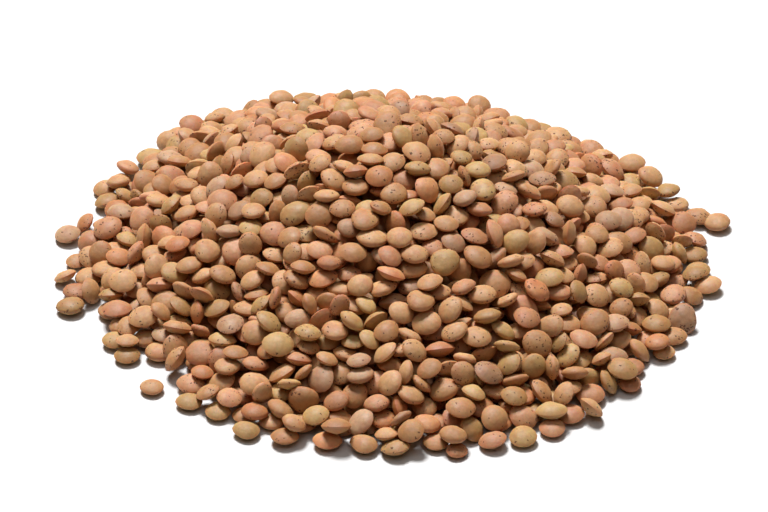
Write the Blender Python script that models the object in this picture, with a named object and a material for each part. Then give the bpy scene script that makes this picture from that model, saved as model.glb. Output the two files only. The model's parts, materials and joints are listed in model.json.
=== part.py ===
"""A loose heap of dry brown lentils on a bare surface, and the one lentil that lies beside it.

Metres, +Z up. The origin is on the ground under the top of the heap.

The heap is poured by rule: each lentil, a flattened spheroid, is lowered onto a map of the
heights reached so far, then slides and tips to the lowest rest it finds. The lentils that show
are fused to a core that follows the poured heights.
"""
import math

import bmesh
import bpy
import numpy as np
from mathutils import Matrix, Vector

MM = 0.001

# One lentil, as wide across as a common brown lentil
LENTIL_DIAMETER = 5.2 * MM
DIAMETER_SPREAD = 0.08
SMALLEST, LARGEST = 0.80, 1.18
THICKNESS_SHARE = 0.52
THINNEST, THICKEST = 0.9, 1.1
LENS_POWER = 0.62
HEAP_SIDES = 6
HEAP_RINGS = 4
STRAY_SIDES = 16
STRAY_RINGS = 8
RIM_SHARE = 0.999

# The heap: a blunt cone on a foot that is round but for a few slow waves and dents
FOOT_RADIUS = 60.9 * MM
FOOT_WAVES = ((1, 0.013, -0.15), (2, 0.024, 1.36), (3, 0.013, -1.51), (4, 0.009, -1.2))
FOOT_DENTS = ((-138, 0.07, 11), (-117, -0.03, 12), (52, 0.02, 12), (157, 0.03, 10))
HEAP_HEIGHT = 27.6 * MM
BLUNTNESS = 0.25

# The lentil that lies apart, and the ones at the heap's rim that are placed by hand, in mm
STRAY = (-43.4, -41.2)
RIM_LENTILS = (
    (66.1, 14.4), (62.6, 16.4), (63.1, -7.7), (-60.1, -14.8), (-62.0, 10.1), (-18.1, -57.4),
    (-10.2, -58.6), (2.4, -61.1), (20.4, -58.6), (26.1, -57.4), (35.0, -50.3),
)
RIM_TILT = 0.12
RIM_SIZE = 1.05
STRAY_CLEARANCE = 0.8 * MM
STRAY_DIAMETER = 4.6 * MM
STRAY_THICKNESS = 2.2 * MM

# The pour. A lentil is poured as a smaller spheroid, because neighbours nestle under its thin rim
SEED = 4
NESTLED = 0.95
CELL = 0.3 * MM
MAP_MARGIN = 1.2
SHELL_DEPTH = 6.5 * MM
PLACES_TRIED = 20
ROUNDS = 7
MOVES_PER_ROUND = 12
SHRINK = 0.75
SLIDE = 0.6 * MM
TIP = 0.22
START_TILT = 0.45
TUMBLED_SHARE = 0.28
PROUD = 1.7 * MM
MISSES_ALLOWED = 80
STEPPED_IN = 0.4

# The solid: the core and the lentils that are fused to it
CORE_DEPTH = 1.1 * MM
CORE_EDGE = 1.2 * MM
CORE_INSET = 1.0 * MM
BELOW_RIM = -1e-4
CORE_RINGS = 9
CORE_SECTORS = 32
CORE_PATCH = 3.0 * MM
LENTILS_SHOWN = 290
SPACING = 4.2 * MM
LEAST_SUNK = 0.25 * MM
LEAST_SHOWING = 0.30

# The finish
COAT_COLOUR = (0.35, 0.17, 0.08, 1.0)
COAT_ROUGHNESS = 0.45
SHARP_ANGLE = math.radians(50)


def foot_radius(angle):
    """The distance from the middle to the heap's foot, at an angle round it."""
    waves = sum(share * np.cos(count * angle + turn) for count, share, turn in FOOT_WAVES)
    dents = 0
    for middle, share, width in FOOT_DENTS:
        aside = np.angle(np.exp(1j * (angle - math.radians(middle)))) / math.radians(width)
        dents = dents + share * np.exp(-aside ** 2)
    return FOOT_RADIUS * (1 + waves - dents)


def heap_surface(x, y):
    """The height that the heap is filled up to."""
    share = np.hypot(x, y) / foot_radius(np.arctan2(y, x))
    tip = math.hypot(1, BLUNTNESS)
    return HEAP_HEIGHT * np.maximum((tip - np.sqrt(share ** 2 + BLUNTNESS ** 2)) / (tip - BLUNTNESS), 0)


def spheroid(dx, dy, radius, half, axes):
    """The height of a tipped lentil's middle sheet, half its thickness there, and where it is."""
    radius, half = radius * NESTLED, half * NESTLED
    square = radius ** 2
    flatness = square - half ** 2
    lean_x, lean_y, upright = (axes[:, i, None, None] for i in range(3))
    across = square - flatness * (lean_x ** 2 + lean_y ** 2)
    along = lean_x * dx + lean_y * dy
    room = 1 - (dx ** 2 + dy ** 2) / square - flatness * along ** 2 / (square * across)
    thickness = radius * half * np.sqrt(np.maximum(room, 0) / across)
    return -flatness * upright * along / across, thickness, room > 0


def height_on_ground(axis, radius, half):
    """The height of a lentil's middle where it lies on the ground."""
    return math.hypot(half * axis[2], radius * math.sqrt(1 - axis[2] ** 2))


class Pour:
    """The map of heights, and the lentils laid on it: place, axis, radius and half thickness."""

    def __init__(self):
        self.random = np.random.default_rng(SEED)
        self.reach = FOOT_RADIUS * MAP_MARGIN
        self.line = np.arange(-self.reach, self.reach, CELL)
        x, y = np.meshgrid(self.line, self.line, indexing="ij")
        self.heights = np.maximum(heap_surface(x, y) - SHELL_DEPTH, 0)
        beside_stray = np.hypot(x - STRAY[0] * MM, y - STRAY[1] * MM)
        self.kept_clear = beside_stray < LENTIL_DIAMETER / 2 + STRAY_CLEARANCE
        self.heights[self.kept_clear] = HEAP_HEIGHT
        self.owners = np.full(self.heights.shape, -1)
        margin = int(math.ceil(LENTIL_DIAMETER / 2 * LARGEST / CELL)) + 1
        self.span = np.arange(-margin, margin + 1)
        self.lentils = []

    def cells(self, places):
        """The rows and columns of the map round each place."""
        middle = np.rint((places + self.reach) / CELL).astype(int)
        return middle[:, :1] + self.span, middle[:, 1:] + self.span

    def rests(self, places, axes, radius, half):
        """The height at which a lentil's centre comes to rest, for each place and axis."""
        rows, columns = self.cells(places)
        window = self.heights[rows[:, :, None], columns[:, None, :]]
        dx = (self.line[rows] - places[:, :1])[:, :, None]
        dy = (self.line[columns] - places[:, 1:])[:, None, :]
        middle, thickness, inside = spheroid(dx, dy, radius, half, axes)
        return np.where(inside, window - middle + thickness, -1).max((1, 2))

    def settle(self, places, axes, radius, half):
        """The lowest rest found from the best of several starts, by small slides and tips."""
        rest = self.rests(places, axes, radius, half)
        best = int(np.argmin(rest - heap_surface(places[:, 0], places[:, 1])))
        place, axis, height = places[best], axes[best], rest[best]
        for count in range(ROUNDS):
            step = 1 - SHRINK * count / ROUNDS
            slide = self.random.normal(0, SLIDE * step, (MOVES_PER_ROUND, 2))
            places = place + np.clip(slide, -2 * SLIDE, 2 * SLIDE)
            axes = axis + self.random.normal(0, TIP * step, (MOVES_PER_ROUND, 3))
            axes /= np.linalg.norm(axes, axis=1)[:, None]
            rest = self.rests(places, axes, radius, half)
            best = int(np.argmin(rest))
            if rest[best] < height:
                place, axis, height = places[best], axes[best], rest[best]
        return place, axis, height

    def lay(self, place, axis, height, radius, half):
        """Adds a lentil to the map of heights."""
        rows, columns = self.cells(place[None])
        dx = (self.line[rows] - place[0])[:, :, None]
        dy = (self.line[columns] - place[1])[:, None, :]
        middle, thickness, inside = spheroid(dx, dy, radius, half, axis[None])
        top = np.where(inside, height + middle + thickness, 0)[0]
        patch = np.ix_(rows[0], columns[0])
        higher = top > self.heights[patch]
        self.heights[patch] = np.where(higher, top, self.heights[patch])
        self.owners[patch] = np.where(higher, len(self.lentils), self.owners[patch])
        self.lentils.append((*place, height, *axis, radius, half))

    def size(self):
        """A lentil's radius and half its thickness."""
        share = np.clip(self.random.normal(1, DIAMETER_SPREAD), SMALLEST, LARGEST)
        radius = LENTIL_DIAMETER / 2 * float(share)
        return radius, radius * THICKNESS_SHARE * self.random.uniform(THINNEST, THICKEST)

    def drop(self):
        """Drops one lentil, and says whether it found room."""
        radius, half = self.size()
        angle = self.random.uniform(0, 2 * math.pi, PLACES_TRIED)
        farthest = foot_radius(angle) - radius * STEPPED_IN
        distance = farthest * np.sqrt(self.random.uniform(0, 1, PLACES_TRIED))
        places = np.column_stack((distance * np.cos(angle), distance * np.sin(angle)))
        axes = np.column_stack((self.random.normal(0, START_TILT, (PLACES_TRIED, 2)), np.ones(PLACES_TRIED)))
        if self.random.random() < TUMBLED_SHARE:
            axes = self.random.normal(0, 1, (PLACES_TRIED, 3))
        axes /= np.linalg.norm(axes, axis=1)[:, None]
        place, axis, height = self.settle(places, axes, radius, half)
        height = max(height, height_on_ground(axis, radius, half))
        level = float(heap_surface(*place))
        if height > level + PROUD + (half if level < half else 0):
            return False
        self.lay(place, axis, height, radius, half)
        return True

    def run(self):
        """Lays the rim lentils on the ground, then drops lentils until no more find room."""
        radius = LENTIL_DIAMETER / 2 * RIM_SIZE
        half = radius * THICKNESS_SHARE
        for place in RIM_LENTILS:
            axis = np.append(self.random.normal(0, RIM_TILT, 2), 1.0)
            axis /= np.linalg.norm(axis)
            height = height_on_ground(axis, radius, half)
            self.lay(np.array(place) * MM, axis, height, radius, half)
        misses = 0
        while misses < MISSES_ALLOWED:
            misses = 0 if self.drop() else misses + 1
        self.heights[self.kept_clear] = 0


def core_height(pour, x, y):
    """The top of the core: a little under the mean of the poured heights round a place."""
    patch = int(round(CORE_PATCH / CELL))
    row, column = (int(round((value + pour.reach) / CELL)) for value in (x, y))
    around = pour.heights[row - patch:row + patch + 1, column - patch:column + patch + 1]
    return max(float(around.mean()) - CORE_DEPTH, CORE_EDGE)


def best_showing(pour):
    """Evenly spread lentils that are open to the sky and reach into the core, widest view first."""
    counts = np.bincount(pour.owners[pour.owners >= 0], minlength=len(pour.lentils))
    chosen = []
    for index in np.argsort(-counts, kind="stable"):
        x, y, height, _, _, _, radius, half = lentil = pour.lentils[index]
        showing = counts[index] * CELL ** 2 > LEAST_SHOWING * math.pi * radius ** 2
        sunk = height - half < core_height(pour, x, y) - LEAST_SUNK
        apart = all(math.hypot(x - other[0], y - other[1]) > SPACING for other in chosen)
        if showing and sunk and apart and len(chosen) < LENTILS_SHOWN:
            chosen.append(lentil)
    return chosen


def lentil_mesh(name, radius, half, sides, rings):
    """A lens with a sharp rim, from a sphere whose rings are moved to the lens's profile."""
    mesh = bpy.data.meshes.new(name)
    shape = bmesh.new()
    bmesh.ops.create_uvsphere(shape, u_segments=sides, v_segments=rings, radius=1.0)
    for vertex in shape.verts:
        out = math.hypot(vertex.co.x, vertex.co.y)
        rise = max(1 - out ** 2, 0) ** LENS_POWER if out < RIM_SHARE else 0.0
        vertex.co = Vector((vertex.co.x * radius, vertex.co.y * radius, math.copysign(half * rise, vertex.co.z)))
    shape.to_mesh(mesh)
    shape.free()
    return mesh


def plain_underside(mesh):
    """Leaves only a cone below the rim, for a lentil that is half sunk."""
    shape = bmesh.new()
    shape.from_mesh(mesh)
    below = [vertex for vertex in shape.verts if vertex.co.z < BELOW_RIM * MM]
    lowest = min(below, key=lambda vertex: vertex.co.z).co.copy()
    bmesh.ops.pointmerge(shape, verts=below, merge_co=lowest)
    shape.to_mesh(mesh)
    shape.free()


def add_lentil(name, lentil, collection, mesh):
    """One lentil where it came to rest, with its upper face up."""
    thing = bpy.data.objects.new(name, mesh)
    up = math.copysign(1.0, lentil[5])
    turn = Vector((0, 0, 1)).rotation_difference(Vector(lentil[3:6]) * up).to_matrix().to_4x4()
    thing.matrix_world = Matrix.Translation(lentil[:3]) @ turn
    collection.objects.link(thing)
    return thing


def add_core(pour, collection):
    """The body under the lentils: a dome that follows the poured heights, on a low skirt."""
    shape = bmesh.new()
    bmesh.ops.create_uvsphere(shape, u_segments=CORE_SECTORS, v_segments=2 * CORE_RINGS, radius=1.0)
    lower_half = [vertex for vertex in shape.verts if vertex.co.z < BELOW_RIM]
    bmesh.ops.delete(shape, geom=lower_half, context="VERTS")
    for vertex in shape.verts:
        angle = math.atan2(vertex.co.y, vertex.co.x)
        share = 1 - math.asin(min(vertex.co.z, 1.0)) / (math.pi / 2)
        distance = (foot_radius(angle) - CORE_INSET) * share
        x, y = distance * math.cos(angle), distance * math.sin(angle)
        vertex.co = Vector((x, y, core_height(pour, x, y)))
    rim = [edge for edge in shape.edges if edge.is_boundary]
    skirt = bmesh.ops.extrude_edge_only(shape, edges=rim)["geom"]
    for vertex in skirt:
        if isinstance(vertex, bmesh.types.BMVert):
            vertex.co.z = 0.0
    bmesh.ops.holes_fill(shape, edges=[edge for edge in shape.edges if edge.is_boundary])
    bmesh.ops.recalc_face_normals(shape, faces=shape.faces)
    mesh = bpy.data.meshes.new("heap")
    shape.to_mesh(mesh)
    shape.free()
    thing = bpy.data.objects.new("heap", mesh)
    collection.objects.link(thing)
    return thing


def islands(shape):
    """The separate shells of a mesh, each as a set of faces."""
    left = set(shape.faces)
    found = []
    while left:
        shell = {left.pop()}
        edge_of_shell = list(shell)
        while edge_of_shell:
            face = edge_of_shell.pop()
            beside = {other for edge in face.edges for other in edge.link_faces} & left
            left -= beside
            shell |= beside
            edge_of_shell.extend(beside)
        found.append(shell)
    return found


def fuse(core, lentils):
    """Joins a collection of lentils to the core, and removes the collection."""
    union = core.modifiers.new("Fuse lentils", "BOOLEAN")
    union.operation = "UNION"
    union.operand_type = "COLLECTION"
    union.collection = lentils
    union.solver = "MANIFOLD"
    fused = bpy.data.meshes.new_from_object(core.evaluated_get(bpy.context.evaluated_depsgraph_get()))
    core.modifiers.remove(union)
    for thing in list(lentils.objects):
        bpy.data.objects.remove(thing)
    bpy.data.collections.remove(lentils)
    keep_largest_shell(fused)
    core.data = fused


def keep_largest_shell(mesh):
    """Fills the hollows that fusing sealed and drops the lentils that touch nothing."""
    shape = bmesh.new()
    shape.from_mesh(mesh)
    shells = sorted(islands(shape), key=len)
    scraps = [face for shell in shells[:-1] for face in shell]
    bmesh.ops.delete(shape, geom=scraps, context="FACES")
    bmesh.ops.triangulate(shape, faces=shape.faces)
    shape.to_mesh(mesh)
    shape.free()


def lentil_material():
    """The satin seed coat of a dry brown lentil."""
    coat = bpy.data.materials.new("lentil_coat")
    coat.use_nodes = True
    shader = coat.node_tree.nodes["Principled BSDF"]
    shader.inputs["Base Color"].default_value = COAT_COLOUR
    shader.inputs["Roughness"].default_value = COAT_ROUGHNESS
    shader.inputs["Metallic"].default_value = 0.0
    return coat


def main():
    for thing in list(bpy.data.objects):
        bpy.data.objects.remove(thing)
    parts = bpy.data.collections.new("lentil_heap")
    showing = bpy.data.collections.new("lentils_that_show")
    for collection in (parts, showing):
        bpy.context.scene.collection.children.link(collection)

    pour = Pour()
    pour.run()
    heap = add_core(pour, parts)
    for count, lentil in enumerate(best_showing(pour)):
        mesh = lentil_mesh(f"lentil_{count}", lentil[6], lentil[7], HEAP_SIDES, HEAP_RINGS)
        plain_underside(mesh)
        add_lentil(f"lentil_{count}", lentil, showing, mesh)
    fuse(heap, showing)

    radius = STRAY_DIAMETER / 2
    half = STRAY_THICKNESS / 2
    stray = (STRAY[0] * MM, STRAY[1] * MM, half, 0.0, 0.0, 1.0, radius, half)
    mesh = lentil_mesh("stray_lentil", radius, half, STRAY_SIDES, STRAY_RINGS)
    add_lentil("stray_lentil", stray, parts, mesh)

    for thing in parts.objects:
        thing.data.materials.clear()
        thing.data.materials.append(lentil_material())
        thing.data.shade_smooth()
        thing.data.set_sharp_from_angle(angle=SHARP_ANGLE)


if __name__ == "__main__":
    main()
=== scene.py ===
"""The looks of a loose heap of dry brown lentils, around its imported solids.

Every lentil is poured by the rule that the solids were made by, so it lies in the same place.
Geometry Nodes then put a lens on each resting place, one piece for each colour of seed coat.
"""
import json
import math

import bmesh
import bpy
import numpy as np
from bpy.props import FloatProperty, FloatVectorProperty, IntProperty, PointerProperty
from mathutils import Matrix, Vector, noise

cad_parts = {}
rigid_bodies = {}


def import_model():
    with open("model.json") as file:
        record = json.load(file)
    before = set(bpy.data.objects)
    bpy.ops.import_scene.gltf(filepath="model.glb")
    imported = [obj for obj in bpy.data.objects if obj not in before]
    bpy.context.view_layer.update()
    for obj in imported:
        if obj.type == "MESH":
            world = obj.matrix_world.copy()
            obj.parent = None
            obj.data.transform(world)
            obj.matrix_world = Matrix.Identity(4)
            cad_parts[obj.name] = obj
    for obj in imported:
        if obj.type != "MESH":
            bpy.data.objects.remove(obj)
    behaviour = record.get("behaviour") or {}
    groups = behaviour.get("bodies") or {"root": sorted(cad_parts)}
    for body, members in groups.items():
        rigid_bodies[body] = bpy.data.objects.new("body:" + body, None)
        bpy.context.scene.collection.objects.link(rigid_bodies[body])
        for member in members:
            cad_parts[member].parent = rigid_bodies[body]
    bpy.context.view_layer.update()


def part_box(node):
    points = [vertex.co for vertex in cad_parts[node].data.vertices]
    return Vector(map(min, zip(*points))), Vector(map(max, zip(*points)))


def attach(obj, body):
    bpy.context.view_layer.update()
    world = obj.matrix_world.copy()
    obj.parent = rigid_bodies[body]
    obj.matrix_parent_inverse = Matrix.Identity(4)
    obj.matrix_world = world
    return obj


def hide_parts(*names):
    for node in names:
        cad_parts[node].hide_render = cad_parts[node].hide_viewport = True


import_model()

bl_info = {
    "name": "Lentil heap",
    "version": (1, 0, 0),
    "blender": (4, 5, 0),
    "location": "3D View > Sidebar > Lentil heap",
    "description": "Pours a loose heap of dry brown lentils and finishes their seed coats",
    "category": "Add Mesh",
}

MM = 0.001

# Slow waves of the foot, as count, share of its radius and turn in radians
FOOT_WAVES = ((1, 0.013, -0.15), (2, 0.024, 1.36), (3, 0.013, -1.51), (4, 0.009, -1.2))
# Dents in the foot, as direction in degrees, share of its radius and width in degrees
FOOT_DENTS = ((-138, 0.07, 11), (-117, -0.03, 12), (52, 0.02, 12), (157, 0.03, 10))

# Lentils at given places, in mm: the stray one, and those at the rim with their coats
STRAY = (-43.4, -41.2)
STRAY_CLEARANCE = 0.8 * MM
RIM_TILT = 0.12
RIM_SIZE = 1.05
RIM_LENTILS = (
    (66.1, 14.4, "tan"), (62.6, 16.4, "tan"), (63.1, -7.7, "tan"), (-60.1, -14.8, "olive"),
    (-62.0, 10.1, "mauve"), (-18.1, -57.4, "tan"), (-10.2, -58.6, "orange"), (2.4, -61.1, "olive"),
    (20.4, -58.6, "rosy"), (26.1, -57.4, "olive"), (35.0, -50.3, "rosy"),
)

# The sizes that lentils come in, as shares of the mean width and thickness
SMALLEST, LARGEST = 0.80, 1.18
THINNEST, THICKEST = 0.9, 1.1
# Poured as rounder, smaller spheroids, because a lens's edge is thin and neighbours nestle under it
NESTLED = 0.95

# The map of heights that lentils are laid on, and how deep under the surface it starts
CELL = 0.3 * MM
MAP_MARGIN = 1.2
SHELL_DEPTH = 6.5 * MM

# A lentil's drop: the places it is tried at, then rounds of small slides and tips
PLACES_TRIED = 20
STEPPED_IN = 0.4
START_TILT = 0.45
TUMBLED_SHARE = 0.28
ROUNDS = 7
MOVES_PER_ROUND = 12
SHRINK = 0.75
SLIDE = 0.6 * MM
TIP = 0.22

# How far a lentil may lie above the filled surface, and how many in a row may fail to fit
PROUD = 1.7 * MM
MISSES_ALLOWED = 80

# The core under the lentils, bent from a unit sphere whose lower half becomes its flat base
CORE_LIFT = 0.4 * MM
CORE_SEGMENTS = 64
CORE_RINGS = 48
UNDERSIDE = -1e-4
BED_LUMP = 5.2 * MM

# Each coat's share of the lentils, and what differs from one lentil to the next
COATS = {"tan": 0.52, "rosy": 0.19, "olive": 0.15, "orange": 0.06, "mauve": 0.08}
COAT_SEED = 11
SPIN_SEED = 3
OVAL = 0.03
MEAN_SPECKLING = 0.20
MOST_SPECKLING = 0.75
STRAY_TONE = 0.6
STRAY_SPECKLING = 0.1

# The lens: how many sides and rings it has, and its forms as
# top power, underside power, waviness, egg share, dent depth
LENS_SIDES = 16
LENS_RINGS = 6
STRAY_SIDES = 40
STRAY_RINGS = 20
LENS_FORMS = (
    (0.66, 0.72, 0.10, 0.02, 0.00),
    (0.72, 0.64, 0.13, 0.04, 0.00),
    (0.76, 0.70, 0.10, 0.02, 0.00),
    (0.62, 0.80, 0.13, 0.05, 0.00),
    (0.82, 0.70, 0.12, 0.03, 0.00),
    (0.68, 0.76, 0.18, 0.07, 0.00),
    (0.70, 0.66, 0.15, 0.03, 0.22),
    (0.66, 0.66, 0.20, 0.07, 0.32),
)
RING_CROWDING = 0.85
ROUND_EDGED = 0.67
ON_KEEL = 0.999
FORM_SHIFT = Vector((7.3, 3.1, 5.7))
DENT_OFF_CENTRE = 0.35
DENT_WIDTH = 0.38

# Lumps and puckers of a lens, as how many to its radius and how strong they are
LUMPS = ((1.4, 1.0), (3.2, 0.5))

# A coat's patterns: a mean lentil's half width and half thickness in mm, how far a lentil's tone
# shifts them, and how many of each mark there are to a mm
HALF_MM = (2.6, 2.6, 1.35)
PATTERN_SHIFT = (713, 331, 197)
PATCHES_PER_MM = 0.38
BLOTCHES_PER_MM = 0.30
DUST_PER_MM = 1.9
WRINKLES_PER_MM = 0.9
SPECKS_PER_MM = 1.8
RAGS_PER_MM = 3.0

# The stage, in metres: the photograph is 768 pixels wide, and a pixel shows 0.193 mm
PHOTO_WIDTH = 768
PIXEL = 0.193 * MM
SENSOR_MM = 36.0
LOOKED_AT = Vector((0.3, -7.9, 8.4)) * MM
TABLE_WIDTH = 3.0
KEY_PLACE = (-0.27, 0.68, 1.76)
KEY_WIDTH = 0.52
OVERHEAD_PLACE = (0.0, -0.40, 1.90)
OVERHEAD_WIDTH = 1.5


def linear(hex_colour):
    """An sRGB hex value as linear red, green and blue."""
    parts = (int(hex_colour[i:i + 2], 16) / 255 for i in (0, 2, 4))
    return tuple(part / 12.92 if part <= 0.04045 else ((part + 0.055) / 1.055) ** 2.4 for part in parts)


def colour(name, description, hex_colour):
    """A colour property with an sRGB hex default."""
    return FloatVectorProperty(
        name=name, description=description, subtype="COLOR", size=3, min=0, max=1, default=linear(hex_colour)
    )


def length(name, description, default):
    """A length property, in metres."""
    return FloatProperty(name=name, description=description, default=default, unit="LENGTH", precision=5)


class LENTIL_HEAP_PG_pour(bpy.types.PropertyGroup):
    foot_radius: length("Foot radius", "From the middle of the heap to its foot", 60.9 * MM)
    height: length("Height", "Height that the heap is filled up to", 27.6 * MM)
    bluntness: FloatProperty(name="Bluntness", description="How round the top of the cone is", default=0.25)
    diameter: length("Lentil diameter", "Mean width of a lentil", 5.2 * MM)
    spread: FloatProperty(name="Size spread", description="Spread of the lentils' widths", default=0.08)
    thickness: FloatProperty(name="Thickness", description="Thickness as a share of the width", default=0.52)
    seed: IntProperty(name="Seed", description="Seed of the pour", default=4)


class LENTIL_HEAP_PG_coats(bpy.types.PropertyGroup):
    tan_pale: colour("Tan, pale", "The palest tan coats", "CD9F6C")
    tan_deep: colour("Tan, deep", "The darkest tan coats", "AE7A45")
    tan_blush: colour("Tan, blush", "Patches and keel of tan lentils", "BA7847")
    rosy_pale: colour("Rosy, pale", "The palest rosy coats", "CD986C")
    rosy_deep: colour("Rosy, deep", "The darkest rosy coats", "B07648")
    rosy_blush: colour("Rosy, blush", "Patches and keel of rosy lentils", "BC7349")
    olive_pale: colour("Olive, pale", "The palest olive coats", "C5A064")
    olive_deep: colour("Olive, deep", "The darkest olive coats", "A77B42")
    olive_blush: colour("Olive, blush", "Patches and keel of olive lentils", "B57B44")
    orange_pale: colour("Orange, pale", "The palest orange coats", "D19560")
    orange_deep: colour("Orange, deep", "The darkest orange coats", "B47540")
    orange_blush: colour("Orange, blush", "Patches and keel of orange lentils", "C17040")
    mauve_pale: colour("Mauve, pale", "The palest greyish coats", "C29A73")
    mauve_deep: colour("Mauve, deep", "The darkest greyish coats", "A3754E")
    mauve_blush: colour("Mauve, blush", "Patches and keel of greyish lentils", "B0744D")
    speckle: colour("Speckle", "The dark dots on a coat", "55301E")


class LENTIL_HEAP_PG_stage(bpy.types.PropertyGroup):
    elevation: FloatProperty(
        name="Camera elevation", description="How steeply the camera looks down", subtype="ANGLE",
        default=math.radians(34)
    )
    distance: length("Camera distance", "From the camera to the middle of the heap", 0.95)
    key_power: FloatProperty(
        name="Key light", description="Power of the large light", unit="POWER", default=61
    )
    fill_power: FloatProperty(
        name="Overhead light", description="Power of the broad light overhead", unit="POWER", default=8
    )
    sky: FloatProperty(name="Sky", description="Strength of the even light from all round", default=0.03)


def foot_radius(settings, angle):
    """The distance from the middle to the heap's foot, at an angle round it."""
    waves = sum(share * np.cos(count * angle + turn) for count, share, turn in FOOT_WAVES)
    dents = 0
    for middle, share, width in FOOT_DENTS:
        aside = np.angle(np.exp(1j * (angle - math.radians(middle)))) / math.radians(width)
        dents = dents + share * np.exp(-aside ** 2)
    return exact(settings.foot_radius) * (1 + waves - dents)


def exact(value):
    """A property's value without the rounding of 32-bit numbers."""
    return round(value, 7)


def heap_surface(settings, x, y):
    """The height that the heap is filled up to."""
    blunt = exact(settings.bluntness)
    share = np.hypot(x, y) / foot_radius(settings, np.arctan2(y, x))
    tip = math.hypot(1, blunt)
    cone = (tip - np.sqrt(share ** 2 + blunt ** 2)) / (tip - blunt)
    return exact(settings.height) * np.maximum(cone, 0)


def spheroid(dx, dy, radius, half, axes):
    """The height of a tipped lentil's middle sheet, half its thickness there, and where it is."""
    radius, half = radius * NESTLED, half * NESTLED
    square = radius ** 2
    flatness = square - half ** 2
    lean_x, lean_y, upright = (axes[:, i, None, None] for i in range(3))
    across = square - flatness * (lean_x ** 2 + lean_y ** 2)
    along = lean_x * dx + lean_y * dy
    room = 1 - (dx ** 2 + dy ** 2) / square - flatness * along ** 2 / (square * across)
    thickness = radius * half * np.sqrt(np.maximum(room, 0) / across)
    return -flatness * upright * along / across, thickness, room > 0


def height_on_ground(axis, radius, half):
    """The height of a lentil's middle where it lies on the table."""
    return math.hypot(half * axis[2], radius * math.sqrt(1 - axis[2] ** 2))


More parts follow.
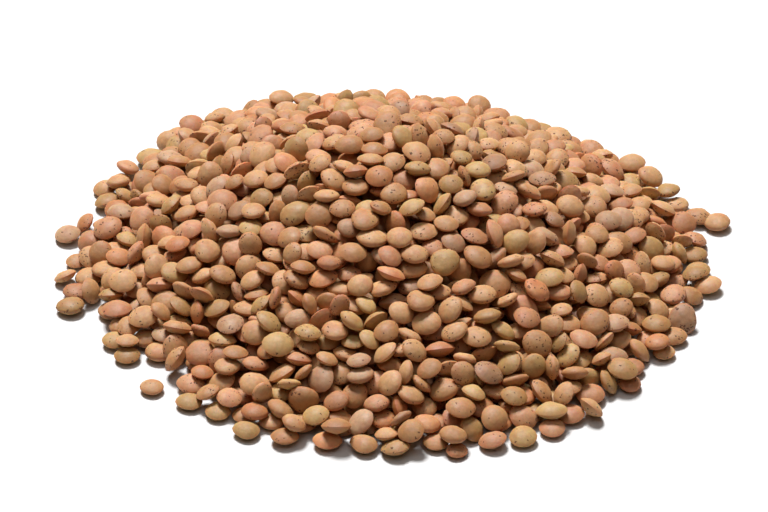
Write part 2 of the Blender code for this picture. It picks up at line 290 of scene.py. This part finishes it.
class Pour:
    """The map of heights, and the lentils laid on it: place, axis, radius and half thickness."""

    def __init__(self, settings):
        self.settings = settings
        self.diameter = exact(settings.diameter)
        self.random = np.random.default_rng(settings.seed)
        self.reach = exact(settings.foot_radius) * MAP_MARGIN
        self.line = np.arange(-self.reach, self.reach, CELL)
        x, y = np.meshgrid(self.line, self.line, indexing="ij")
        self.heights = np.maximum(heap_surface(settings, x, y) - SHELL_DEPTH, 0)
        beside_stray = np.hypot(x - STRAY[0] * MM, y - STRAY[1] * MM)
        self.kept_clear = beside_stray < self.diameter / 2 + STRAY_CLEARANCE
        self.heights[self.kept_clear] = exact(settings.height)
        self.owners = np.full(self.heights.shape, -1)
        margin = int(math.ceil(self.diameter / 2 * LARGEST / CELL)) + 1
        self.span = np.arange(-margin, margin + 1)
        self.lentils = []

    def cells(self, places):
        """The rows and columns of the map round each place."""
        middle = np.rint((places + self.reach) / CELL).astype(int)
        return middle[:, :1] + self.span, middle[:, 1:] + self.span

    def rests(self, places, axes, radius, half):
        """The height at which a lentil's centre comes to rest, for each place and axis."""
        rows, columns = self.cells(places)
        window = self.heights[rows[:, :, None], columns[:, None, :]]
        dx = (self.line[rows] - places[:, :1])[:, :, None]
        dy = (self.line[columns] - places[:, 1:])[:, None, :]
        middle, thickness, inside = spheroid(dx, dy, radius, half, axes)
        return np.where(inside, window - middle + thickness, -1).max((1, 2))

    def settle(self, places, axes, radius, half):
        """The lowest rest found from the best of several starts, by small slides and tips."""
        rest = self.rests(places, axes, radius, half)
        best = int(np.argmin(rest - heap_surface(self.settings, places[:, 0], places[:, 1])))
        place, axis, height = places[best], axes[best], rest[best]
        for count in range(ROUNDS):
            step = 1 - SHRINK * count / ROUNDS
            slide = self.random.normal(0, SLIDE * step, (MOVES_PER_ROUND, 2))
            places = place + np.clip(slide, -2 * SLIDE, 2 * SLIDE)
            axes = axis + self.random.normal(0, TIP * step, (MOVES_PER_ROUND, 3))
            axes /= np.linalg.norm(axes, axis=1)[:, None]
            rest = self.rests(places, axes, radius, half)
            best = int(np.argmin(rest))
            if rest[best] < height:
                place, axis, height = places[best], axes[best], rest[best]
        return place, axis, height

    def lay(self, place, axis, height, radius, half):
        """Adds a lentil to the map of heights."""
        rows, columns = self.cells(place[None])
        dx = (self.line[rows] - place[0])[:, :, None]
        dy = (self.line[columns] - place[1])[:, None, :]
        middle, thickness, inside = spheroid(dx, dy, radius, half, axis[None])
        top = np.where(inside, height + middle + thickness, 0)[0]
        patch = np.ix_(rows[0], columns[0])
        higher = top > self.heights[patch]
        self.heights[patch] = np.where(higher, top, self.heights[patch])
        self.owners[patch] = np.where(higher, len(self.lentils), self.owners[patch])
        self.lentils.append((*place, height, *axis, radius, half))

    def size(self):
        """A lentil's radius and half its thickness."""
        share = np.clip(self.random.normal(1, exact(self.settings.spread)), SMALLEST, LARGEST)
        radius = self.diameter / 2 * float(share)
        return radius, radius * exact(self.settings.thickness) * self.random.uniform(THINNEST, THICKEST)

    def drop(self):
        """Drops one lentil, and says whether it found room."""
        radius, half = self.size()
        angle = self.random.uniform(0, 2 * math.pi, PLACES_TRIED)
        farthest = foot_radius(self.settings, angle) - radius * STEPPED_IN
        distance = farthest * np.sqrt(self.random.uniform(0, 1, PLACES_TRIED))
        places = np.column_stack((distance * np.cos(angle), distance * np.sin(angle)))
        axes = np.column_stack((self.random.normal(0, START_TILT, (PLACES_TRIED, 2)), np.ones(PLACES_TRIED)))
        if self.random.random() < TUMBLED_SHARE:
            axes = self.random.normal(0, 1, (PLACES_TRIED, 3))
        axes /= np.linalg.norm(axes, axis=1)[:, None]
        place, axis, height = self.settle(places, axes, radius, half)
        height = max(height, height_on_ground(axis, radius, half))
        level = float(heap_surface(self.settings, *place))
        if height > level + PROUD + (half if level < half else 0):
            return False
        self.lay(place, axis, height, radius, half)
        return True

    def run(self):
        """Lays the rim lentils on the ground, then drops lentils until no more find room."""
        radius = self.diameter / 2 * RIM_SIZE
        half = radius * exact(self.settings.thickness)
        for x, y, _ in RIM_LENTILS:
            axis = np.append(self.random.normal(0, RIM_TILT, 2), 1.0)
            axis /= np.linalg.norm(axis)
            height = height_on_ground(axis, radius, half)
            self.lay(np.array((x, y)) * MM, axis, height, radius, half)
        misses = 0
        while misses < MISSES_ALLOWED:
            misses = 0 if self.drop() else misses + 1
        self.heights[self.kept_clear] = 0


def add_node(tree, kind, values=None, links=None, **settings):
    """Adds a node with its settings, its sockets' values and the links into it."""
    node = tree.nodes.new(kind)
    for name, value in settings.items():
        setattr(node, name, value)
    for socket, value in (values or {}).items():
        node.inputs[socket].default_value = value
    for socket, source in (links or {}).items():
        tree.links.new(source, node.inputs[socket])
    return node


def add_piece(name, mesh, material):
    """A piece at the origin, with one material and its place in its mesh."""
    mesh.materials.clear()
    mesh.materials.append(material)
    piece = bpy.data.objects.new(name, mesh)
    bpy.context.scene.collection.objects.link(piece)
    return piece


def join_heap(piece, node):
    """Fixes a piece to the heap's body in place of a CAD node."""
    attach(piece, "root")
    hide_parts(node)


def lens_mesh(name, sides, rings, form, seed):
    """A lens one unit in radius and half thickness, uneven as a dried seed is."""
    top_power, under_power, waviness, egg, dent = form
    mesh = bpy.data.meshes.new(name)
    shape = bmesh.new()
    bmesh.ops.create_uvsphere(shape, u_segments=sides, v_segments=rings, radius=1.0)
    local = shape.verts.layers.float_vector.new("local")
    shift = FORM_SHIFT * seed
    dent_place = Vector((math.cos(seed), math.sin(seed))) * DENT_OFF_CENTRE
    for vertex in shape.verts:
        x, y, z = vertex.co
        angle = math.atan2(y, x)
        out = min(math.hypot(x, y), 1.0) ** RING_CROWDING
        rise = max(1 - out ** 2, 0.0) ** (top_power if z > 0 else under_power)
        rise = 0.0 if out > ON_KEEL else rise
        place = Vector((out * math.cos(angle), out * math.sin(angle), math.copysign(rise, z)))
        vertex[local] = place
        lumps = sum(share * noise.noise(place * count + shift) for count, share in LUMPS)
        uneven = 1 + waviness * lumps
        hollow = dent * math.exp(-((place.xy - dent_place).length / DENT_WIDTH) ** 2) if z > 0 else 0.0
        outline = 1 + egg * math.cos(2 * angle + seed) + 0.5 * egg * math.cos(3 * angle + 2 * seed)
        vertex.co = Vector((place.x * outline, place.y * outline, place.z * (uneven - hollow)))
    for face in shape.faces:
        face.smooth = True
    for edge in shape.edges:
        keel = all(math.hypot(*vertex[local].xy) > ON_KEEL for vertex in edge.verts)
        edge.smooth = not keel or top_power < ROUND_EDGED
    shape.to_mesh(mesh)
    shape.free()
    return mesh


def turn_to(axis):
    """The Euler turn that points +Z along an axis, taken upwards."""
    upward = Vector(axis) * math.copysign(1.0, axis[2])
    return Vector((0, 0, 1)).rotation_difference(upward).to_euler()


def planting_tree():
    """The Geometry Nodes that put a lens on each resting place, turned, sized and coated."""
    tree = bpy.data.node_groups.new("Lentils at rest", "GeometryNodeTree")
    sockets = (
        ("Resting places", "NodeSocketGeometry"),
        ("Lens shapes", "NodeSocketCollection"),
        ("Lentil diameter", "NodeSocketFloat"),
        ("Spin seed", "NodeSocketInt"),
        ("Coat", "NodeSocketMaterial"),
    )
    for label, kind in sockets:
        tree.interface.new_socket(label, in_out="INPUT", socket_type=kind)
    tree.interface.new_socket("Lentils", in_out="OUTPUT", socket_type="NodeSocketGeometry")
    given = add_node(tree, "NodeGroupInput").outputs
    shapes = add_node(
        tree, "GeometryNodeCollectionInfo", {"Separate Children": True, "Reset Children": True},
        {"Collection": given["Lens shapes"]}
    )
    turn = add_node(tree, "GeometryNodeInputNamedAttribute", {"Name": "turn"}, data_type="FLOAT_VECTOR")
    size = add_node(tree, "GeometryNodeInputNamedAttribute", {"Name": "size"}, data_type="FLOAT_VECTOR")
    shape = add_node(tree, "GeometryNodeInputNamedAttribute", {"Name": "shape"}, data_type="INT")
    spin = add_node(
        tree, "FunctionNodeRandomValue", {"Min": 0.0, "Max": 2 * math.pi}, {"Seed": given["Spin seed"]},
        data_type="FLOAT"
    )
    lean = add_node(tree, "FunctionNodeEulerToRotation", links={"Euler": turn.outputs["Attribute"]})
    twist = add_node(
        tree, "FunctionNodeAxisAngleToRotation", {"Axis": (0, 0, 1)}, {"Angle": spin.outputs["Value"]}
    )
    both = add_node(
        tree, "FunctionNodeRotateRotation",
        links={"Rotation": lean.outputs["Rotation"], "Rotate By": twist.outputs["Rotation"]},
        rotation_space="LOCAL"
    )
    scale = add_node(tree, "ShaderNodeVectorMath", operation="SCALE")
    tree.links.new(size.outputs["Attribute"], scale.inputs[0])
    tree.links.new(given["Lentil diameter"], scale.inputs["Scale"])
    planted = add_node(
        tree, "GeometryNodeInstanceOnPoints", {"Pick Instance": True},
        {
            "Points": given["Resting places"], "Instance": shapes.outputs["Instances"],
            "Instance Index": shape.outputs["Attribute"], "Rotation": both.outputs["Rotation"],
            "Scale": scale.outputs["Vector"],
        }
    )
    real = add_node(tree, "GeometryNodeRealizeInstances", links={"Geometry": planted.outputs["Instances"]})
    coated = add_node(
        tree, "GeometryNodeSetMaterial",
        links={"Geometry": real.outputs["Geometry"], "Material": given["Coat"]}
    )
    add_node(tree, "NodeGroupOutput", links={"Lentils": coated.outputs["Geometry"]})
    return tree


def set_inputs(modifier, values):
    """Sets a modifier's inputs by the identifiers behind their names."""
    for socket in modifier.node_group.interface.items_tree:
        if socket.in_out == "INPUT" and socket.name in values:
            modifier[socket.identifier] = values[socket.name]


def seed_coat(name, coats, kind):
    """Dried seed coat, a thin dusty skin: a broad pale sheen, mottled, with small dark specks."""
    coat = bpy.data.materials.new(name)
    coat.use_nodes = True
    tree = coat.node_tree
    shader = tree.nodes["Principled BSDF"]
    pale, deep, blush = ((*getattr(coats, f"{kind}_{part}"), 1) for part in ("pale", "deep", "blush"))
    tone = add_node(tree, "ShaderNodeAttribute", attribute_name="tone").outputs["Fac"]
    speckled = add_node(tree, "ShaderNodeAttribute", attribute_name="speckles").outputs["Fac"]
    local = add_node(tree, "ShaderNodeAttribute", attribute_name="local").outputs["Vector"]

    # The place on the coat in mm, shifted so that no two lentils share a pattern
    shift = add_node(tree, "ShaderNodeVectorMath", {0: PATTERN_SHIFT}, {"Scale": tone}, operation="SCALE")
    place = add_node(
        tree, "ShaderNodeVectorMath", {1: HALF_MM}, {0: local, 2: shift.outputs["Vector"]},
        operation="MULTIPLY_ADD"
    ).outputs["Vector"]

    # Patches 2 to 3 mm wide between the coat's pale and deep colour, and wider blotches of its blush
    patches = add_node(
        tree, "ShaderNodeTexNoise",
        {"Scale": PATCHES_PER_MM, "Detail": 3.0, "Roughness": 0.6}, {"Vector": place}
    )
    patchy = add_node(
        tree, "ShaderNodeMath", {1: 0.9, 2: -0.45}, {0: patches.outputs["Fac"]}, operation="MULTIPLY_ADD"
    )
    depth = add_node(
        tree, "ShaderNodeMath", links={0: tone, 1: patchy.outputs["Value"]}, operation="ADD", use_clamp=True
    )
    body = add_node(
        tree, "ShaderNodeMix", {6: deep, 7: pale}, {0: depth.outputs["Value"]}, data_type="RGBA"
    ).outputs[2]
    blotches = add_node(
        tree, "ShaderNodeTexNoise",
        {"Scale": BLOTCHES_PER_MM, "Detail": 2.0, "Roughness": 0.5}, {"Vector": place}
    )
    flushed = add_node(
        tree, "ShaderNodeMapRange", {"From Min": 0.50, "From Max": 0.68, "To Min": 0.0, "To Max": 0.55},
        {"Value": blotches.outputs["Fac"]}, interpolation_type="SMOOTHSTEP"
    )
    body = add_node(
        tree, "ShaderNodeMix", {7: blush}, {0: flushed.outputs["Result"], 6: body}, data_type="RGBA"
    ).outputs[2]

    # Dusty grain about 0.5 mm wide, a little paler and darker
    dust = add_node(
        tree, "ShaderNodeTexNoise",
        {"Scale": DUST_PER_MM, "Detail": 3.0, "Roughness": 0.65}, {"Vector": place}
    )
    shade = add_node(
        tree, "ShaderNodeMapRange", {"From Min": 0.3, "From Max": 0.7, "To Min": 0.89, "To Max": 1.10},
        {"Value": dust.outputs["Fac"]}
    )
    body = add_node(
        tree, "ShaderNodeVectorMath", links={0: body, "Scale": shade.outputs["Result"]}, operation="SCALE"
    ).outputs["Vector"]

    # The keel round the rim, with more of the blush
    flat = add_node(tree, "ShaderNodeVectorMath", {1: (1, 1, 0)}, {0: local}, operation="MULTIPLY")
    out = add_node(tree, "ShaderNodeVectorMath", links={0: flat.outputs["Vector"]}, operation="LENGTH")
    keel = add_node(
        tree, "ShaderNodeMapRange", {"From Min": 0.80, "From Max": 1.0, "To Min": 0.0, "To Max": 0.55},
        {"Value": out.outputs["Value"]}, interpolation_type="SMOOTHSTEP"
    )
    rimmed = add_node(
        tree, "ShaderNodeMix", {7: blush}, {0: keel.outputs["Result"], 6: body}, data_type="RGBA"
    ).outputs[2]

    # Specks 0.2 to 0.5 mm wide and a little ragged, gathered in patches and at the rim
    ragged = add_node(
        tree, "ShaderNodeTexNoise", {"Scale": RAGS_PER_MM, "Detail": 1.0}, {"Vector": place}
    )
    wander = add_node(
        tree, "ShaderNodeVectorMath", {1: (0.5, 0.5, 0.5)}, {0: ragged.outputs["Color"], 2: place},
        operation="MULTIPLY_ADD"
    )
    cells = add_node(
        tree, "ShaderNodeTexVoronoi", {"Scale": SPECKS_PER_MM}, {"Vector": wander.outputs["Vector"]}
    )
    draw = add_node(tree, "ShaderNodeSeparateColor", links={"Color": cells.outputs["Color"]})
    width = add_node(
        tree, "ShaderNodeMath", {1: 0.24, 2: 0.20}, {0: draw.outputs["Green"]}, operation="MULTIPLY_ADD"
    )
    inside = add_node(
        tree, "ShaderNodeMath", links={0: cells.outputs["Distance"], 1: width.outputs["Value"]},
        operation="LESS_THAN"
    )
    outward = add_node(
        tree, "ShaderNodeMapRange", {"From Min": 0.3, "From Max": 0.9, "To Min": 0.3, "To Max": 1.2},
        {"Value": out.outputs["Value"]}
    )
    gathered = add_node(
        tree, "ShaderNodeMapRange", {"From Min": 0.45, "From Max": 0.62, "To Min": 0.12, "To Max": 2.2},
        {"Value": patches.outputs["Fac"]}
    )
    crowding = add_node(
        tree, "ShaderNodeMath", links={0: outward.outputs["Result"], 1: gathered.outputs["Result"]},
        operation="MULTIPLY"
    )
    likely = add_node(
        tree, "ShaderNodeMath", links={0: speckled, 1: crowding.outputs["Value"]}, operation="MULTIPLY"
    )
    chosen = add_node(
        tree, "ShaderNodeMath", links={0: draw.outputs["Red"], 1: likely.outputs["Value"]},
        operation="LESS_THAN"
    )
    speck = add_node(
        tree, "ShaderNodeMath", links={0: inside.outputs["Value"], 1: chosen.outputs["Value"]},
        operation="MULTIPLY"
    )
    strength = add_node(tree, "ShaderNodeMath", {1: 0.85}, {0: speck.outputs["Value"]}, operation="MULTIPLY")
    speckle = (*coats.speckle, 1)
    final = add_node(
        tree, "ShaderNodeMix", {7: speckle}, {0: strength.outputs["Value"], 6: rimmed}, data_type="RGBA"
    ).outputs[2]
    tree.links.new(final, shader.inputs["Base Color"])
    shader.inputs["Specular IOR Level"].default_value = 0.8
    shader.inputs["Diffuse Roughness"].default_value = 0.9
    shader.inputs["Subsurface Weight"].default_value = 0.35
    shader.inputs["Subsurface Radius"].default_value = (1.0, 0.3, 0.1)
    shader.inputs["Subsurface Scale"].default_value = 0.8 * MM

    # Wrinkles about 1 mm long and a fine grain, both shallow; specks are duller than the rest
    grain = add_node(
        tree, "ShaderNodeTexNoise",
        {"Scale": WRINKLES_PER_MM, "Detail": 4.0, "Roughness": 0.6}, {"Vector": place}
    )
    sheen = add_node(
        tree, "ShaderNodeMapRange", {"From Min": 0.3, "From Max": 0.7, "To Min": 0.58, "To Max": 0.74},
        {"Value": grain.outputs["Fac"]}
    )
    dulled = add_node(
        tree, "ShaderNodeMath", {1: 0.4}, {0: speck.outputs["Value"], 2: sheen.outputs["Result"]},
        operation="MULTIPLY_ADD", use_clamp=True
    )
    tree.links.new(dulled.outputs["Value"], shader.inputs["Roughness"])
    relief = add_node(
        tree, "ShaderNodeBump", {"Strength": 1.0, "Distance": 0.16 * MM}, {"Height": grain.outputs["Fac"]}
    )
    tree.links.new(relief.outputs["Normal"], shader.inputs["Normal"])
    return coat


class LENTIL_HEAP_OT_core(bpy.types.Operator):
    """Makes the dark bed under the lentils, brown with painted shade, which only shows as depth between them
    """

    bl_idname = "lentil_heap.core"
    bl_label = "Core of the heap"

    def execute(self, context):
        settings = context.scene.lentil_pour
        blunt = exact(settings.bluntness)
        tip = math.hypot(1, blunt)
        buried = SHELL_DEPTH / exact(settings.height)
        edge = math.sqrt((tip - (tip - blunt) * buried) ** 2 - blunt ** 2)
        shape = bmesh.new()
        bmesh.ops.create_uvsphere(shape, u_segments=CORE_SEGMENTS, v_segments=CORE_RINGS, radius=1.0)
        for vertex in shape.verts:
            x, y, z = vertex.co
            angle = math.atan2(y, x)
            out = edge * math.acos(min(abs(z), 1.0)) / (math.pi / 2) * float(foot_radius(settings, angle))
            x, y = out * math.cos(angle), out * math.sin(angle)
            top = max(float(heap_surface(settings, x, y)) - SHELL_DEPTH, 0.0) if z > UNDERSIDE else 0.0
            vertex.co = Vector((x, y, top + CORE_LIFT))
        mesh = bpy.data.meshes.new("heap_core")
        shape.to_mesh(mesh)
        shape.free()
        piece = add_piece("heap_core", mesh, shaded_bed())
        join_heap(piece, "heap")
        return {"FINISHED"}


def shaded_bed():
    """Lentils in deep shade, drawn as a matt brown bed mottled at a lentil's size."""
    bed = bpy.data.materials.new("shaded_lentil_bed")
    bed.use_nodes = True
    tree = bed.node_tree
    shader = tree.nodes["Principled BSDF"]
    place = add_node(tree, "ShaderNodeTexCoord").outputs["Object"]
    lumps = add_node(tree, "ShaderNodeTexVoronoi", {"Scale": 1 / BED_LUMP}, {"Vector": place})
    mix = add_node(
        tree, "ShaderNodeMix", {6: (*linear("A06A45"), 1), 7: (*linear("6B3F26"), 1)},
        {0: lumps.outputs["Distance"]}, data_type="RGBA"
    )
    tree.links.new(mix.outputs[2], shader.inputs["Base Color"])
    shader.inputs["Roughness"].default_value = 0.8
    return bed


class LENTIL_HEAP_OT_lentils(bpy.types.Operator):
    """Pours the heap and makes one piece of lentils for each colour of coat"""

    bl_idname = "lentil_heap.lentils"
    bl_label = "Poured lentils"

    def execute(self, context):
        pour = Pour(context.scene.lentil_pour)
        pour.run()
        lentils = np.array(pour.lentils)
        kinds = self.kinds(len(lentils))
        shapes = bpy.data.collections.new("lens_shapes")
        for count, form in enumerate(LENS_FORMS):
            name = f"lens_{count}"
            mesh = lens_mesh(name, LENS_SIDES, LENS_RINGS, form, count + 1)
            shapes.objects.link(bpy.data.objects.new(name, mesh))
        tree = planting_tree()
        for kind in COATS:
            coat = seed_coat(f"seed_coat_{kind}", context.scene.lentil_coats, kind)
            mesh = self.planted(lentils[kinds == kind], shapes, tree, coat, pour.diameter)
            piece = add_piece(f"lentils_{kind}", mesh, coat)
            join_heap(piece, "heap")
        for thing in list(shapes.objects):
            bpy.data.objects.remove(thing)
        bpy.data.collections.remove(shapes)
        return {"FINISHED"}

    def kinds(self, count):
        """A coat for each lentil: the rim lentils' own, and the rest drawn by share."""
        random = np.random.default_rng(COAT_SEED)
        drawn = random.choice(list(COATS), count, p=list(COATS.values()))
        drawn[:len(RIM_LENTILS)] = [kind for _, _, kind in RIM_LENTILS]
        return drawn

    def planted(self, lentils, shapes, tree, coat, diameter):
        """The mesh of the lentils of one coat."""
        random = np.random.default_rng(COAT_SEED + len(lentils))
        count = len(lentils)
        mesh = bpy.data.meshes.new("resting_places")
        mesh.vertices.add(count)
        mesh.vertices.foreach_set("co", lentils[:, :3].ravel())
        turns = np.array([turn_to(lentil[3:6]) for lentil in lentils])
        skew = random.uniform(-OVAL, OVAL, count)
        radius, half = lentils[:, 6] / diameter, lentils[:, 7] / diameter
        sizes = np.column_stack((radius * (1 + skew), radius * (1 - skew), half))
        mesh.attributes.new("turn", "FLOAT_VECTOR", "POINT").data.foreach_set("vector", turns.ravel())
        mesh.attributes.new("size", "FLOAT_VECTOR", "POINT").data.foreach_set("vector", sizes.ravel())
        shape = random.integers(0, len(LENS_FORMS), count)
        mesh.attributes.new("shape", "INT", "POINT").data.foreach_set("value", shape)
        mesh.attributes.new("tone", "FLOAT", "POINT").data.foreach_set("value", random.uniform(0, 1, count))
        speckles = np.minimum(random.exponential(MEAN_SPECKLING, count), MOST_SPECKLING)
        mesh.attributes.new("speckles", "FLOAT", "POINT").data.foreach_set("value", speckles)
        places = bpy.data.objects.new("resting_places", mesh)
        bpy.context.scene.collection.objects.link(places)
        plant = places.modifiers.new("Plant lentils", "NODES")
        plant.node_group = tree
        set_inputs(plant, {
            "Lens shapes": shapes, "Lentil diameter": diameter, "Spin seed": SPIN_SEED, "Coat": coat,
        })
        ready = places.evaluated_get(bpy.context.evaluated_depsgraph_get())
        planted = bpy.data.meshes.new_from_object(ready)
        bpy.data.objects.remove(places)
        for vertex in planted.vertices:
            vertex.co.z = max(vertex.co.z, 0.0)
        return planted


class LENTIL_HEAP_OT_stray(bpy.types.Operator):
    """Makes the lentil that lies apart from the heap"""

    bl_idname = "lentil_heap.stray"
    bl_label = "Stray lentil"

    def execute(self, context):
        low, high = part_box("stray_lentil")
        mesh = lens_mesh("stray_lentil_coat", STRAY_SIDES, STRAY_RINGS, LENS_FORMS[0], 2)
        size = (high - low) / 2
        mesh.transform(Matrix.Translation((low + high) / 2) @ Matrix.Diagonal((*size, 1)))
        for name, value in (("tone", STRAY_TONE), ("speckles", STRAY_SPECKLING)):
            attribute = mesh.attributes.new(name, "FLOAT", "POINT")
            attribute.data.foreach_set("value", np.full(len(mesh.vertices), value))
        coat = seed_coat("seed_coat_stray", context.scene.lentil_coats, "tan")
        join_heap(add_piece("stray_lentil_coat", mesh, coat), "stray_lentil")
        return {"FINISHED"}


class LENTIL_HEAP_OT_stage(bpy.types.Operator):
    """Sets the white table, the camera and the lights"""

    bl_idname = "lentil_heap.stage"
    bl_label = "Table, camera and lights"

    def execute(self, context):
        settings = context.scene.lentil_stage
        bpy.ops.mesh.primitive_plane_add(size=TABLE_WIDTH)
        table = context.object
        table.name = "table"
        table.data.materials.append(white_laminate())
        slope = Vector((0, -math.cos(settings.elevation), math.sin(settings.elevation)))
        camera = bpy.data.cameras.new("camera")
        camera.sensor_width = SENSOR_MM
        camera.lens = SENSOR_MM * settings.distance / (PHOTO_WIDTH * PIXEL)
        eye = bpy.data.objects.new("camera", camera)
        eye.location = LOOKED_AT + settings.distance * slope
        eye.rotation_euler = (LOOKED_AT - eye.location).to_track_quat("-Z", "Y").to_euler()
        context.scene.collection.objects.link(eye)
        context.scene.camera = eye
        add_light("key", KEY_PLACE, KEY_WIDTH, settings.key_power)
        add_light("overhead", OVERHEAD_PLACE, OVERHEAD_WIDTH, settings.fill_power)
        world = bpy.data.worlds.new("even light")
        world.use_nodes = True
        sky = world.node_tree.nodes["Background"]
        sky.inputs["Color"].default_value = (*linear("FFD0AC"), 1)
        sky.inputs["Strength"].default_value = settings.sky
        context.scene.world = world
        context.scene.view_settings.view_transform = "Standard"
        return {"FINISHED"}


def add_light(name, place, width, power):
    """A square soft light that faces the heap."""
    lamp = bpy.data.lights.new(name, "AREA")
    lamp.energy = power
    lamp.size = width
    light = bpy.data.objects.new(name, lamp)
    light.location = place
    light.rotation_euler = (-Vector(place)).to_track_quat("-Z", "Y").to_euler()
    bpy.context.scene.collection.objects.link(light)


def white_laminate():
    """Matt white laminate, pressed smooth: it takes the lentils' shadows and hardly shines."""
    sheet = bpy.data.materials.new("white_laminate")
    sheet.use_nodes = True
    shader = sheet.node_tree.nodes["Principled BSDF"]
    shader.inputs["Base Color"].default_value = (*linear("D5D5D5"), 1)
    shader.inputs["Roughness"].default_value = 0.7
    return sheet


class LENTIL_HEAP_PT_panel(bpy.types.Panel):
    bl_label = "Lentil heap"
    bl_idname = "LENTIL_HEAP_PT_panel"
    bl_space_type = "VIEW_3D"
    bl_region_type = "UI"
    bl_category = "Lentil heap"

    def draw(self, context):
        for group in (context.scene.lentil_pour, context.scene.lentil_coats, context.scene.lentil_stage):
            box = self.layout.box()
            for name in group.bl_rna.properties.keys():
                if name not in ("rna_type", "name"):
                    box.prop(group, name)
        for operator in OPERATORS:
            self.layout.operator(operator.bl_idname)


GROUPS = {
    "lentil_pour": LENTIL_HEAP_PG_pour,
    "lentil_coats": LENTIL_HEAP_PG_coats,
    "lentil_stage": LENTIL_HEAP_PG_stage,
}
OPERATORS = (LENTIL_HEAP_OT_core, LENTIL_HEAP_OT_lentils, LENTIL_HEAP_OT_stray, LENTIL_HEAP_OT_stage)


def register():
    for group in GROUPS.values():
        bpy.utils.register_class(group)
    for name, group in GROUPS.items():
        setattr(bpy.types.Scene, name, PointerProperty(type=group))
    for kind in (*OPERATORS, LENTIL_HEAP_PT_panel):
        bpy.utils.register_class(kind)


def unregister():
    for kind in (LENTIL_HEAP_PT_panel, *reversed(OPERATORS)):
        bpy.utils.unregister_class(kind)
    for name, group in reversed(GROUPS.items()):
        delattr(bpy.types.Scene, name)
        bpy.utils.unregister_class(group)


def main():
    register()
    bpy.ops.lentil_heap.core()
    bpy.ops.lentil_heap.lentils()
    bpy.ops.lentil_heap.stray()
    bpy.ops.lentil_heap.stage()


if __name__ == "__main__":
    main()
